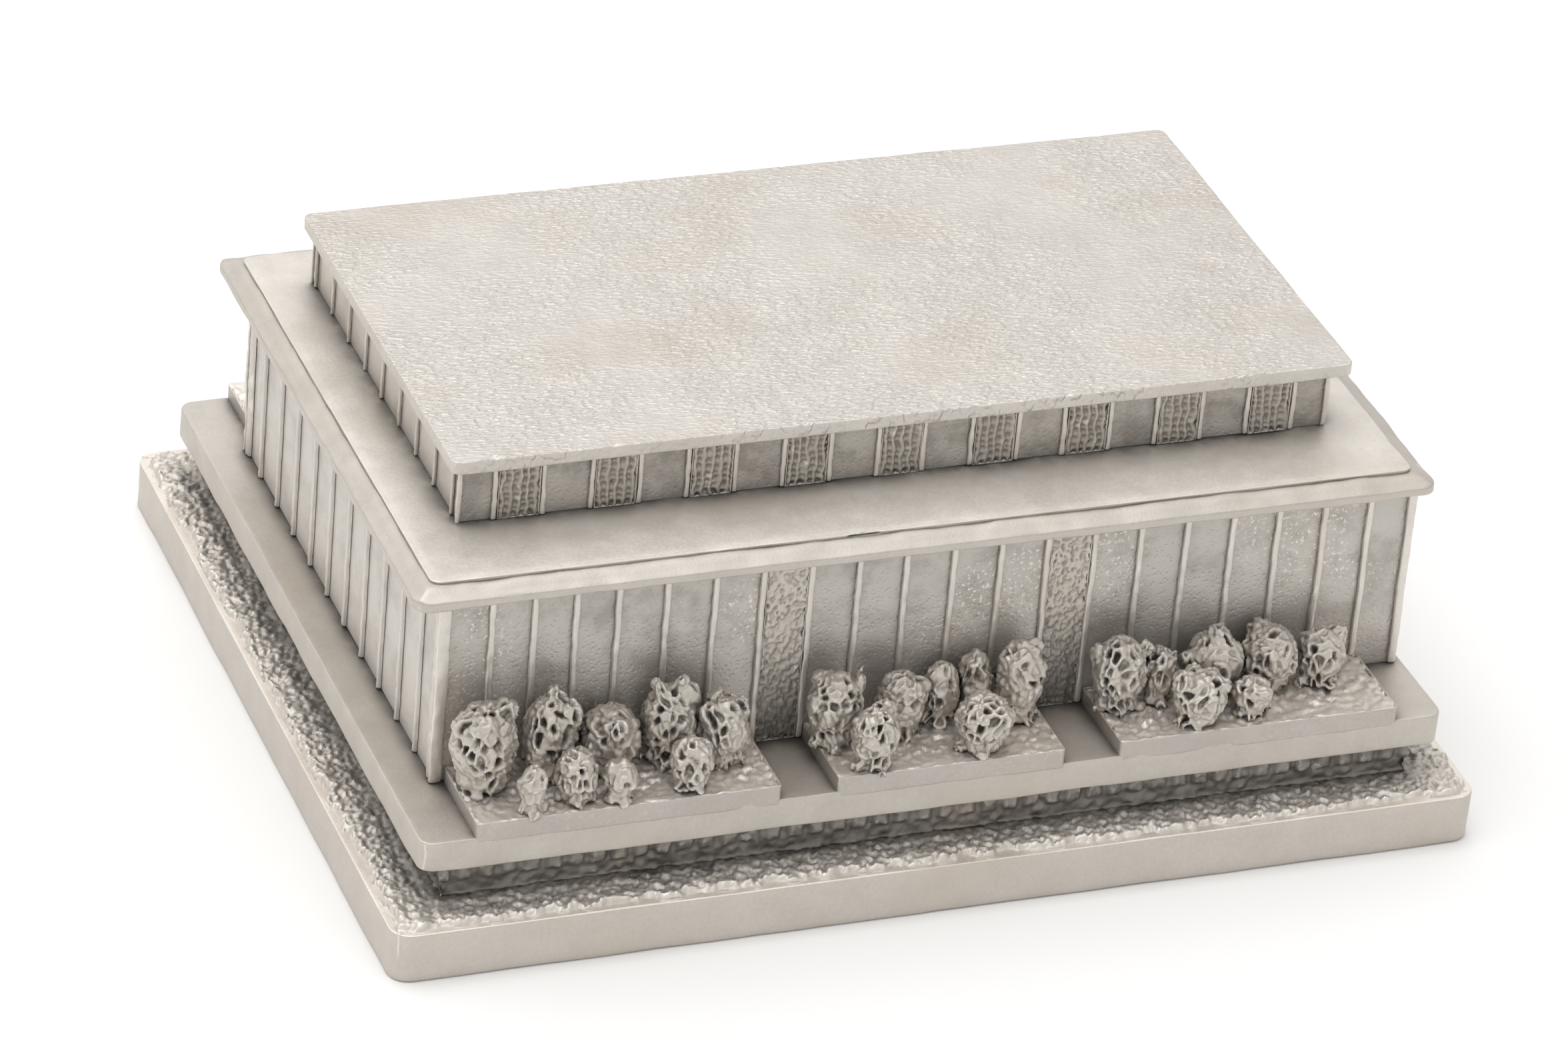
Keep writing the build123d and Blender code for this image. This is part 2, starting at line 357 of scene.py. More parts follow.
def make_antique_finish():
    """Node group: dark patina held in recesses, bright rubbed edges, and a cast grain."""
    group = bpy.data.node_groups.new("antique_pewter_finish", "ShaderNodeTree")
    socket(group, "Bright", "NodeSocketColor", default=(0.60, 0.555, 0.505, 1))
    socket(group, "Dark", "NodeSocketColor", default=(0.10, 0.092, 0.082, 1))
    for name, number in FINISH_NUMBERS.items():
        socket(group, name, "NodeSocketFloat", default=number)
    socket(group, "Color", "NodeSocketColor", is_output=True)
    socket(group, "Roughness", "NodeSocketFloat", is_output=True)
    socket(group, "Height", "NodeSocketFloat", is_output=True)
    wire = Wiring(group)
    given = wire.node("NodeGroupInput").outputs
    result = wire.node("NodeGroupOutput")

    at = millimetres(wire)
    grain_scale = wire.math("DIVIDE", 1.0, given["Grain Size"])
    fine = wire.noise(at, grain_scale, 3.0, 0.6)
    blotch = wire.noise(at, 0.33, 4.0, 0.62)
    cloud = wire.noise(at, 0.09, 2.0, 0.5)

    # Patina gathers where the sky is hidden, and a band of darkening runs from a set level along a
    # wall: patina at the doors' foot, painted shade under the cornice on the hall panels.
    reach = wire.math("MULTIPLY", given["Reach"], MM)
    shade = wire.node("ShaderNodeAmbientOcclusion", samples=6)
    wire.feed(shade.inputs["Distance"], reach)
    open_sky = shade.outputs["AO"]
    recess = wire.spread(wire.math("SUBTRACT", 1.0, open_sky), 0.12, 0.72)
    unevenness = wire.math("MULTIPLY", wire.math("SUBTRACT", blotch, 0.5), given["Mottle"])
    patchy = wire.math("ADD", 1.0, wire.math("MULTIPLY", unevenness, 3.0))
    recess = wire.math("MULTIPLY", recess, patchy)
    recess = wire.math("MULTIPLY", recess, given["Patina"], clamp=True)
    level = wire.node("ShaderNodeSeparateXYZ", {"Vector": at}).outputs["Z"]
    above_foot = wire.math("SUBTRACT", level, given["Foot Level"])
    above_foot = wire.math("DIVIDE", above_foot, given["Foot Rise"])
    # A band darker near Foot Level: painted shade on the hall panels, patina on the doors.
    soot = wire.math("MULTIPLY", wire.spread(above_foot, 0.0, 1.0, 1.0, 0.0), given["Foot Soot"])
    soot = wire.math("MULTIPLY", soot, wire.spread(blotch, 0.25, 0.6, 0.7, 1.0))
    recess = wire.math("MAXIMUM", recess, soot)

    # The bare metal's tone: grain, a painted top light that brightens upward faces, and warm clouds.
    tone = wire.math("ADD", wire.math("MULTIPLY", unevenness, 0.9), 0.5)
    tone = wire.math("ADD", tone, wire.math("MULTIPLY", wire.math("SUBTRACT", fine, 0.5), 0.55))
    surface = wire.node("ShaderNodeNewGeometry")
    speckled = wire.node("ShaderNodeHueSaturation", {"Color": given["Bright"]})
    facing = wire.node("ShaderNodeSeparateXYZ", {"Vector": surface.outputs["Normal"]}).outputs["Z"]
    # Painted light: faces that look upward get a brighter colour, as the sky above would light them.
    worn = wire.math("MULTIPLY", wire.spread(facing, 0.4, 0.9), given["Top Wear"])
    worn = wire.math("ADD", 1.0, worn)
    value = wire.math("MULTIPLY", wire.spread(tone, 0.1, 0.9, 0.86, 1.12), worn)
    wire.feed(speckled.inputs["Value"], value)
    warm = wire.mix(
        wire.math("MULTIPLY", wire.spread(cloud, 0.5, 0.75), 0.35),
        speckled.outputs[0],
        WARM_TARNISH,
    )
    stained = wire.mix(recess, warm, given["Dark"])

    # Sharp edges and stray flecks are rubbed back to bright metal.
    point = surface.outputs["Pointiness"]
    rubbed = wire.math("MULTIPLY", wire.spread(point, 0.52, 0.60), given["Rubbed"])
    rubbed = wire.math("MULTIPLY", rubbed, wire.spread(blotch, 0.3, 0.6, 0.4, 1.0), clamp=True)
    flecks = wire.spread(wire.noise(at, 2.6, 2.0, 0.7), 0.52, 0.64)
    flecks = wire.math("MULTIPLY", flecks, wire.spread(cloud, 0.42, 0.60))
    flecks = wire.math("MULTIPLY", flecks, given["Specks"])
    rubbed = wire.math("MAXIMUM", rubbed, flecks)
    wire.feed(result.inputs["Color"], wire.mix(rubbed, stained, FRESHLY_RUBBED))

    # Patina is duller than the metal, and rubbed places a little glossier.
    rough = wire.math("ADD", 0.47, wire.math("MULTIPLY", wire.math("SUBTRACT", fine, 0.5), 0.18))
    rough = wire.math("ADD", rough, wire.math("MULTIPLY", recess, 0.25))
    rough = wire.math("SUBTRACT", rough, wire.math("MULTIPLY", rubbed, 0.08))
    wire.feed(result.inputs["Roughness"], rough)
    wire.feed(result.inputs["Height"], wire.math("MULTIPLY", fine, given["Grain Depth"]))
    return group


antique_finish = make_antique_finish()


def pewter(name, bump=0.03, extra_height=None, metallic=0.72, **values):
    """A pewter material: the shared finish with its own values, and any extra relief."""
    material = bpy.data.materials.new(name)
    material.use_nodes = True
    tree = material.node_tree
    tree.nodes.clear()
    wire = Wiring(tree)
    finish = wire.node("ShaderNodeGroup", node_tree=antique_finish)
    for key, value in values.items():
        finish.inputs[key.replace("_", " ").title()].default_value = value
    height = finish.outputs["Height"]
    if extra_height:
        height = wire.math("ADD", height, extra_height(wire))
    bumped = wire.node(
        "ShaderNodeBump", {"Strength": 0.6, "Distance": bump * MM, "Height": height}
    )
    shader = wire.node(
        "ShaderNodeBsdfPrincipled",
        {
            "Base Color": finish.outputs["Color"],
            "Roughness": finish.outputs["Roughness"],
            "Metallic": metallic,
            "Normal": bumped.outputs[0],
        },
    )
    surface = wire.node("ShaderNodeOutputMaterial")
    tree.links.new(shader.outputs[0], surface.inputs[0])
    return material


def linen_rows(wire):
    """Rows of short dashes along X, as a woven core print left in the roof."""
    at = millimetres(wire)
    stretched = wire.node("ShaderNodeVectorMath", operation="MULTIPLY")
    wire.feed(stretched.inputs[0], at)
    stretched.inputs[1].default_value = (1.3, 3.2, 1.0)
    dashes = wire.noise(stretched.outputs[0], 1.0, 1.0, 0.4)
    patches = wire.spread(wire.noise(at, 0.06, 1.0), 0.38, 0.58, 0.25, 1.0)
    raised = wire.spread(dashes, 0.45, 0.62)
    return wire.math("MULTIPLY", raised, wire.math("MULTIPLY", patches, 2.2))


def stipple(wire):
    """Close round pits, as on the hall's sand-cast panels."""
    at = millimetres(wire)
    cells = wire.node("ShaderNodeTexVoronoi", {"Vector": at, "Scale": 2.6})
    return wire.math("MULTIPLY", wire.spread(cells.outputs["Distance"], 0.1, 0.5), 0.8)


PALE_PEWTER = (0.74, 0.70, 0.65, 1)
SATIN_PEWTER = (0.56, 0.52, 0.475, 1)

roof_metal = pewter(
    "roof_linen_pewter",
    bump=0.08, extra_height=linen_rows,
    bright=(0.655, 0.618, 0.575, 1),
    grain_size=0.3, mottle=0.6,
    patina=0.3, reach=0.8,
)
smooth_metal = pewter(
    "smooth_satin_pewter",
    bright=SATIN_PEWTER,
    grain_size=0.22, mottle=0.5,
    patina=0.6, reach=0.5,
)
deck_metal = pewter(
    "haloed_deck_pewter",
    bright=PALE_PEWTER,
    grain_size=0.22, mottle=1.0,
    patina=1.4, reach=3.4,
    rubbed=0.1,
)
terrace_metal = pewter(
    "terrace_satin_pewter",
    bright=SATIN_PEWTER,
    grain_size=0.25, mottle=0.7,
    patina=1.6, reach=2.2,
    # Painted light: upward faces a little brighter.
    rubbed=0.6, top_wear=0.12,
)
plinth_metal = pewter(
    "plinth_satin_pewter",
    bright=(0.60, 0.555, 0.51, 1),
    grain_size=0.3, mottle=0.5,
    patina=0.2, reach=0.8,
    # Painted highlight: the plinth's upward faces, its top rim among them, painted brighter.
    rubbed=1.0, top_wear=0.45,
)
panel_metal = pewter(
    "stippled_panel_pewter",
    bump=0.05, extra_height=stipple,
    bright=(0.37, 0.34, 0.305, 1), dark=(0.10, 0.092, 0.085, 1),
    metallic=0.5,
    grain_size=0.2, mottle=0.9,
    patina=0.45, reach=1.7,
    specks=1.0,
    # A negative rise lets the darkening hang down from the wall's top, as painted shade under the
    # cornice.
    foot_level=27.6, foot_rise=-7.0, foot_soot=0.2,
)
side_metal = pewter(
    "side_wall_pewter",
    bump=0.03, extra_height=stipple,
    bright=(0.50, 0.465, 0.425, 1),
    metallic=0.3,
    grain_size=0.2, mottle=0.5,
    patina=0.1, reach=1.0,
)
rib_metal = pewter(
    "rubbed_rib_pewter",
    bright=PALE_PEWTER,
    grain_size=0.18, mottle=0.7,
    patina=0.25, reach=0.7,
    rubbed=0.9,
)
side_rib_metal = pewter(
    "side_rib_pewter",
    bright=(0.66, 0.62, 0.575, 1),
    metallic=0.5,
    grain_size=0.18, mottle=0.5,
    patina=0.05, reach=0.6,
    rubbed=1.0,
)
# The podium's dark colour is partly patina and partly painted shade from the terrace's overhang.
shadow_metal = pewter(
    "patina_and_shade_podium_pewter",
    bump=0.06,
    bright=(0.35, 0.325, 0.295, 1), dark=(0.09, 0.085, 0.078, 1),
    grain_size=0.3, mottle=0.9,
    patina=1.05, reach=3.0,
    rubbed=0.6,
)
turf_metal = pewter(
    "stony_ground_pewter",
    bump=0.06,
    bright=(0.70, 0.655, 0.60, 1),
    grain_size=0.3, mottle=0.8,
    patina=0.68, reach=4.5,
    rubbed=0.9, specks=0.3,
)
bed_metal = pewter(
    "planting_bed_pewter",
    bump=0.03,
    bright=(0.50, 0.465, 0.43, 1),
    grain_size=0.25, mottle=0.6,
    patina=0.3, reach=0.8,
    # Painted light: the bed tops painted brighter than their sides.
    rubbed=0.9, specks=0.15, top_wear=0.6,
)
shrub_metal = pewter(
    "coral_shrub_pewter",
    bump=0.02,
    bright=(0.61, 0.565, 0.51, 1), dark=(0.075, 0.068, 0.06, 1),
    grain_size=0.2, mottle=0.6,
    patina=0.95, reach=0.8,
    rubbed=0.8,
)
grille_metal = pewter(
    "pierced_grille_pewter",
    bump=0.03,
    bright=(0.62, 0.575, 0.52, 1), dark=(0.08, 0.074, 0.068, 1),
    grain_size=0.2, mottle=0.7,
    patina=1.7, reach=0.7,
    rubbed=0.6,
    foot_level=10.0, foot_rise=11.0, foot_soot=0.8,
)
louvre_metal = pewter(
    "wavy_louvre_pewter",
    bump=0.03,
    bright=(0.48, 0.445, 0.40, 1),
    grain_size=0.2, mottle=0.6,
    patina=1.1, reach=0.8,
    rubbed=0.7,
)
storey_metal = pewter(
    "upper_storey_pewter",
    bump=0.05, extra_height=stipple,
    bright=(0.21, 0.19, 0.168, 1),
    metallic=0.6,
    grain_size=0.2, mottle=0.8,
    patina=1.15, reach=1.8,
)
storey_side_metal = pewter(
    "upper_storey_side_pewter",
    bump=0.03,
    bright=(0.57, 0.53, 0.485, 1),
    grain_size=0.2, mottle=0.6,
    patina=0.45, reach=1.5,
)


# ---------------------------------------------------------------- plinth, ground and podium
def make_plinth():
    """The plain plinth, with soft upright corners."""
    low, high = box_mm("base_plinth")
    points, faces = soft_block(
        low, high, edge=0.22, step=(0.9, 0.9, 0.5), corner=1.8, relief=cast_skin(0.12, 7.0, 3)
    )
    new_piece("plinth", points, faces, plinth_metal, ["base_plinth"])


TURF_GRID = 0.16
# The turf spills past its slab, roots below its foot and tucks in under the podium.
TURF_SPILL = 0.75
TURF_ROOT = 0.3
TURF_TUCK = 1.6


def turf_levels(flat, foot, to_edge, under_podium):
    """Levels of the turf's top: mats, pits and cracks, ragged at the rim."""
    ragged = to_edge + layered_grain(flat, 1.6, 13, 3)
    band = 1 - ramp(ragged, 2.2, 3.6)
    mats = layered_grain(flat, 1.1, 5, 4)
    pits = ramp(grain_field(flat, 0.42, 21), 0.0, 0.22)
    cracks = 1 - ramp(np.abs(layered_grain(flat + 40, 1.2, 9, 3)), 0.0, 0.10)
    crust = 0.34 + 0.26 * mats - 0.20 * pits - 0.12 * cracks
    level = ramp(ragged, 0.10, 0.45) * (0.16 + (0.45 + 0.55 * band) * np.clip(crust, 0.0, 0.75))
    return foot + level - 0.10 + 0.22 * ramp(under_podium, -1.2, -0.1)


def open_edges(quads):
    """Edges that only one quad uses, in that quad's own direction."""
    edges = dict.fromkeys(pair for quad in quads for pair in zip(quad, quad[1:] + quad[:1]))
    return [(a, b) for a, b in edges if (b, a) not in edges]


def make_ground():
    """A low crust of stony turf round the podium's foot, with a ragged edge on the rim."""
    low, high = box_mm("ground_slab")
    low, high = low - (TURF_SPILL, TURF_SPILL, 0), high + (TURF_SPILL, TURF_SPILL, 0)
    xs = np.linspace(low[0], high[0], int((high[0] - low[0]) / TURF_GRID))
    ys = np.linspace(low[1], high[1], int((high[1] - low[1]) / TURF_GRID))
    grid_x, grid_y = np.meshgrid(xs, ys, indexing="ij")
    flat = np.stack([grid_x.ravel(), grid_y.ravel(), np.zeros(grid_x.size)], axis=1)
    under_podium = inside_rim(flat, *box_mm("podium"))
    top = flat.copy()
    top[:, 2] = turf_levels(flat, low[2], inside_rim(flat, low, high), under_podium)

    ids = np.arange(grid_x.size).reshape(grid_x.shape)
    corners = [ids[:-1, :-1], ids[1:, :-1], ids[1:, 1:], ids[:-1, 1:]]
    quads = np.stack(corners, axis=-1).reshape(-1, 4)
    hidden = under_podium[quads].min(axis=1) > TURF_TUCK
    quads = quads[~hidden]
    used = np.unique(quads)
    renumber = -np.ones(grid_x.size, dtype=np.int64)
    renumber[used] = np.arange(len(used))
    top, quads = top[used], renumber[quads].tolist()

    bottom = top.copy()
    bottom[:, 2] = low[2] - TURF_ROOT
    count = len(top)
    faces = quads + [[i + count for i in reversed(quad)] for quad in quads]
    faces += [[b, a, a + count, b + count] for a, b in open_edges(quads)]
    points = np.concatenate([top, bottom])
    new_piece("stony_ground", points, faces, turf_metal, ["ground_slab"])


BLOCK_PITCH = 1.78
BLOCK_DEPTH = 0.34
ROUGH_DEPTH = 0.32


def make_podium():
    """Rough dark podium with a course of square blocks just under the terrace."""
    low, high = box_mm("podium")

    def relief(points, normals):
        faces_y = np.abs(normals[:, 1]) > np.abs(normals[:, 0])
        along = np.where(faces_y, points[:, 0], points[:, 1])
        phase = np.abs((along / BLOCK_PITCH) % 1.0 - 0.5) * 2
        up = (points[:, 2] - low[2]) / (high[2] - low[2])
        course = ramp(up, 0.40, 0.50) * (1 - ramp(up, 0.90, 0.97))
        blocks = ramp(0.72 - phase, 0.0, 0.18) * course
        sink = BLOCK_DEPTH * (1 - blocks) + ROUGH_DEPTH * (0.4 + layered_grain(points, 0.7, 4))
        return points - normals * np.array([1, 1, 0]) * np.clip(sink, 0, None)[:, None]

    step = (0.22, 0.22, 0.22)
    points, faces = soft_block(low, high, edge=0.3, step=step, relief=relief, grid_caps=False)
    new_piece("block_podium", points, faces, shadow_metal, ["podium"])


# ---------------------------------------------------------------- terrace and beds
def make_terrace():
    """The terrace up to the wall's foot; its hidden curb is left out."""
    low, high = box_mm("terrace_slab")
    high[2] = box_mm("hall_front_wall")[0][2]
    points, faces = soft_block(
        low, high, edge=0.2, step=(0.8, 0.8, 0.4), corner=1.3, relief=cast_skin(0.14, 6.0, 8)
    )
    new_piece("terrace", points, faces, terrace_metal, ["terrace_slab"])


BED_ROOT = 0.5


def make_bed(node, seed):
    """A planting bed: crisp sides, a low crust on top that is rougher towards the wall."""
    low, high = box_mm(node)
    low[2] -= BED_ROOT
    faces_front = low[1] < 0
    wall = high[1] if faces_front else low[1]

    def relief(points, normals):
        from_wall = np.abs(points[:, 1] - wall)
        top = ramp(normals[:, 2], 0.5, 0.9)
        crust = layered_grain(points, 0.7, seed, 3)
        pits = ramp(grain_field(points, 0.5, seed + 8), 0.05, 0.25)
        spread = from_wall + 3.0 * layered_grain(points, 3.0, seed + 3, 2)
        rough = 0.3 + 0.7 * (1 - ramp(spread, 5.5, 8.5))
        sink = 0.06 * (0.5 + layered_grain(points, 2.5, seed))
        sink = sink + rough * top * (0.08 - 0.30 * crust + 0.22 * pits)
        return points - normals * np.clip(sink, -0.25, 0.45)[:, None]

    points, faces = soft_block(
        low, high, edge=0.16, step=(0.2, 0.2, 0.3), corner=0.35, relief=relief
    )
    new_piece("planting_" + node, points, faces, bed_metal, [node])


# ---------------------------------------------------------------- hall
RIB_DRIFT = 0.16
RIB_SHIFT = 3.3
RIB_TUCK = 0.1


def rib_skin(along, wall, at, width, number, seed, swell):
    """Relief for one rib: rounded across, wandering a little, with a cast skin."""

    def relief(points, normals):
        across = np.clip(np.abs(points[:, along] - at) / (width / 2), 0, 1)
        points = points.copy()
        points[:, 1 - along] = wall + (points[:, 1 - along] - wall) * (1 - swell * across**2)
        drift = np.zeros_like(points)
        up = points * (0, 0, 1) + number * RIB_SHIFT
        drift[:, along] = RIB_DRIFT * grain_field(up, 5.0, seed)
        sink = 0.10 * (0.5 + layered_grain(points, 0.9, seed + number))
        return points + drift - normals * np.clip(sink, 0, None)[:, None]

    return relief


def rib_row(node, along, positions, widths, foot_of, seed, metal=rib_metal, swell=0.12):
    """Rounded, slightly wandering ribs over one wall, each from its foot to the cornice."""
    low, high = box_mm(node)
    outward = 1 - along
    wall = high[outward] if low[outward] < 0 else low[outward]
    parts = []
    for number, (at, width) in enumerate(zip(positions, widths)):
        rib_low, rib_high = low.copy(), high.copy()
        rib_low[along], rib_high[along] = at - width / 2, at + width / 2
        rib_low[2] = foot_of(at)
        rib_high[2] += RIB_TUCK
        skin = rib_skin(along, wall, at, width, number, seed, swell)
        parts.append(soft_block(rib_low, rib_high, edge=0.14, step=(0.2, 0.2, 0.4), relief=skin))
    points, faces = join_meshes(parts)
    new_piece("soft_" + node, points, faces, metal, [node])


# The hall's ribs, piers and bays; its doors stand in the bays listed.
RIB = 0.6
PIER = 1.1
RIGHT_PIER = 0.8
BAY = 3.9
CORNER_BAY = 3.35
LEFT_CORNER_BAYS = 4
FULL_BAYS = 16
FIRST_RIB = 1.0
DOOR_BAYS = (7, 13)
DOOR_TUCK = 0.05
SIDE_BAYS = 11
HALF_ROUND = 0.7


def rib_places():
    """Middles of the ribs along the long sides, as the CAD lays them out."""
    first = box_mm("hall_front_ribs")[0][0] + FIRST_RIB
    start = first + CORNER_BAY * LEFT_CORNER_BAYS
    return [first + CORNER_BAY * n for n in range(LEFT_CORNER_BAYS)] + [
        start + BAY * n for n in range(FULL_BAYS + 1)
    ]


def make_hall_ribs():
    """Ribs and corner piers on the hall's four walls; over the beds they stop at the planting."""
    spans = [box_mm(f"front_bed_{side}") for side in ("left", "centre", "right")]
    floor, bed_top = spans[0][0][2], spans[0][1][2]

    def foot_of(x):
        over_bed = any(low[0] < x < high[0] for low, high in spans)
        return bed_top - RIB_TUCK if over_bed else floor

    low, high = box_mm("hall_front_ribs")
    inner = rib_places()[1:]
    places = [low[0] + PIER / 2, *inner, high[0] - RIGHT_PIER / 2]
    widths = [PIER, *[RIB] * len(inner), RIGHT_PIER]
    for node, seed in {"hall_front_ribs": 31, "hall_rear_ribs": 37}.items():
        rib_row(node, 0, places, widths, foot_of, seed)

    front, rear = box_mm("hall_front_ribs")[0][1], box_mm("hall_rear_ribs")[1][1]
    side_low, side_high = box_mm("hall_left_ribs")
    pitch = (rear - front) / SIDE_BAYS
    inner = [front + pitch * n for n in range(1, SIDE_BAYS)]
    places = [side_low[1] + PIER / 2, *inner, side_high[1] - PIER / 2]
    widths = [PIER, *[RIB] * len(inner), PIER]
    for node, seed in {"hall_left_ribs": 41, "hall_right_ribs": 43}.items():
        rib_row(node, 1, places, widths, lambda y: floor, seed, side_rib_metal, HALF_ROUND)


def pitted_panel(low, high, outward, depth, seed):
    """A thin panel whose outer face is all small uneven pits, in rough upright columns."""

    def relief(points, normals):
        outer = ramp(normals[:, 1] * outward, 0.3, 0.9)
        squeezed = points * (1.25, 1.0, 0.8)
        pits = ramp(grain_field(squeezed, 0.32, seed), -0.08, 0.28)
        waves = 0.5 + 0.5 * np.cos(points[:, 0] * 7.5 + 5.0 * grain_field(points, 1.6, seed + 3))
        ridges = 0.3 * (0.5 + layered_grain(points, 0.5, seed + 5))
        sink = depth * np.clip(0.75 * pits + 0.25 * waves + ridges, 0, 1.1)
        return points - normals * (outer * sink)[:, None]

    return soft_block(low, high, edge=0.06, step=(0.11, 0.3, 0.12), relief=relief)


def make_door_grilles():
    """Two pitted doors in the front and two in the rear, each between two ribs."""
    ribs = rib_places()
    for node, outward in {"front_door_grilles": -1, "rear_door_grilles": 1}.items():
        low, high = box_mm(node)
        parts = []
        for number in DOOR_BAYS:
            door_low, door_high = low.copy(), high.copy()
            door_low[0] = ribs[number] + RIB / 2 - DOOR_TUCK
            door_high[0] = ribs[number + 1] - RIB / 2 + DOOR_TUCK
            door = pitted_panel(door_low, door_high, outward, depth=0.22, seed=50 + number)
            parts.append(door)
        points, faces = join_meshes(parts)
        new_piece("pitted_" + node, points, faces, grille_metal, [node])


# ---------------------------------------------------------------- cornice, deck, upper storey
# Each slab's rim slopes down by its fall over its run.
LEDGE_RUN = 1.6
LEDGE_FALL = 0.6
DECK_ROOT = 0.2
DECK_RUN = 0.9
DECK_FALL = 0.06


def make_cornice():
    """A thin fascia, a ledge that slopes up towards the deck, and soft uneven edges."""
    low, high = box_mm("cornice_slab")
    low[2] = box_mm("hall_front_wall")[1][2]

    def relief(points, normals):
        slope = 1 - ramp(inside_rim(points, low, high), 0, LEDGE_RUN)
        upper = ramp(points[:, 2], low[2] + 0.3, high[2] - 0.1)
        points = lowered(points, upper * LEDGE_FALL * slope)
        return cast_skin(0.16, 4.0, 12)(points, normals)

    points, faces = soft_block(
        low, high, edge=0.2, step=(0.5, 0.5, 0.3), corner=1.4, relief=relief
    )
    new_piece("cornice", points, faces, smooth_metal, ["cornice_slab"])


def make_deck():
    """The low deck on the cornice, a little worn down round its rim."""
    low, high = box_mm("deck_panel")
    low[2] -= DECK_ROOT

    def relief(points, normals):
        slope = 1 - ramp(inside_rim(points, low, high), 0, DECK_RUN)
        points = lowered(points, DECK_FALL * slope)
        return cast_skin(0.08, 5.0, 15)(points, normals)

    points, faces = soft_block(
        low, high, edge=0.07, step=(0.6, 0.6, 0.3), corner=0.8, relief=relief
    )
    new_piece("raised_deck", points, faces, deck_metal, ["deck_panel"])


# The upper storey's fins, bays and louvres.
FIN = 0.5
SIDE_FIN = 0.4
STOREY_BAY = 3.88
STOREY_BAYS = 17
SIDE_FINS = 9
LOUVRE_RIDGES = 5
LOUVRE_PIT_PITCH = 0.6
LOUVRE_DEPTH = 0.30


def fin_places():
    """Middles of the upper storey's long-side fins."""
    end = box_mm("penthouse_front_fins")[1][0] - FIN / 2
    inner = [STOREY_BAY * (n - STOREY_BAYS / 2) for n in range(STOREY_BAYS + 1)]
    return [-end, *inner, end]


def make_storey_fins():
    """Thin fins on the upper storey's four walls."""
    foot = box_mm("penthouse_front_fins")[0][2]
    places = fin_places()
    widths = [FIN] * len(places)
    for node, seed in {"penthouse_front_fins": 61, "penthouse_rear_fins": 63}.items():
        rib_row(node, 0, places, widths, lambda x: foot, seed)
    low, high = box_mm("penthouse_left_fins")
    places = np.linspace(low[1] + FIN / 2, high[1] - FIN / 2, SIDE_FINS)
    widths = [SIDE_FIN] * SIDE_FINS
    for node, seed in {"penthouse_left_fins": 67, "penthouse_right_fins": 69}.items():
        rib_row(node, 1, places, widths, lambda y: foot, seed, side_rib_metal)


def louvre_panel(low, high, outward, seed):
    """Wavy upright rows of small pits with ridges between them."""

    def relief(points, normals):
        outer = ramp(normals[:, 1] * outward, 0.3, 0.9)
        across = (points[:, 0] - low[0]) / (high[0] - low[0]) * LOUVRE_RIDGES
        across = across + 0.5 * grain_field(points, 1.1, seed)
        hollow = np.cos(across * 2 * math.pi) * 0.5 + 0.5
        beat = points[:, 2] / LOUVRE_PIT_PITCH + 0.9 * grain_field(points, 0.9, seed + 2)
        pits = np.cos(beat * 2 * math.pi) * 0.5 + 0.5
        sink = LOUVRE_DEPTH * np.clip(hollow * (0.5 + 0.6 * pits), 0, 1)
        return points - normals * (outer * sink)[:, None]

    return soft_block(low, high, edge=0.06, step=(0.1, 0.3, 0.12), relief=relief)


def make_louvres():
    """Louvres in every second bay of the upper storey's long sides."""
    places = fin_places()
    for node, outward in {"penthouse_front_louvres": -1, "penthouse_rear_louvres": 1}.items():
        low, high = box_mm(node)
        parts = []
        for number in range(1, len(places) - 1, 2):
            bay_low, bay_high = low.copy(), high.copy()
            bay_low[0], bay_high[0] = places[number] + FIN / 2, places[number + 1] - FIN / 2
            parts.append(louvre_panel(bay_low, bay_high, outward, 80 + number))
        points, faces = join_meshes(parts)
        new_piece("wavy_" + node, points, faces, louvre_metal, [node])


# Small chips in the roof's front rim: (place along X, width).
ROOF_CHIPS = ((-33.5, 1.6), (-24.0, 0.9), (-8.5, 1.2), (13.0, 0.8), (27.5, 1.4))
CHIP_DEPTH = 0.16


def make_roof():
    """The roof down to the wall's top, with a worn rim; its hidden curb is left out."""
    low, high = box_mm("roof_slab")
    low[2] = box_mm("penthouse_front_wall")[1][2]

    def relief(points, normals):
        points = cast_skin(0.10, 8.0, 18)(points, normals)
        from_rim = (points[:, 1] - low[1]) + (high[2] - points[:, 2])
        for place, width in ROOF_CHIPS:
            chip = ramp(width / 2 - np.abs(points[:, 0] - place), 0.0, width / 2)
            dent = CHIP_DEPTH * chip * (1 - ramp(from_rim, 0.1, 0.7))
            points = points + np.outer(dent, (0, 1, -1))
        return points

    points, faces = soft_block(
        low, high, edge=0.14, step=(0.3, 0.5, 0.2), corner=0.8, relief=relief
    )
    new_piece("roof", points, faces, roof_metal, ["roof_slab"])


# ---------------------------------------------------------------- shrubs
# Shrubs stand a tenth wider than the plain lumps that they replace.
SHRUB_SPREAD = 1.1
LUMP_VOXEL = 0.13
PIT_TRIES = 1400
PIT_DEPTHS = (0.05, 0.22, 0.45, 0.7)
PIT_SHARES = (0.26, 0.30, 0.28, 0.16)
SIDE_LUMPS = 7
ROOTS = 4


def ellipsoid(centre, radii, detail):
    """Points and faces of a fine ball stretched to three radii."""
    ball = bmesh.new()
    bmesh.ops.create_icosphere(ball, subdivisions=detail, radius=1.0)
    points = np.array([v.co[:] for v in ball.verts]) * radii + centre
    faces = [[v.index for v in f.verts] for f in ball.faces]
    ball.free()
    return points, faces


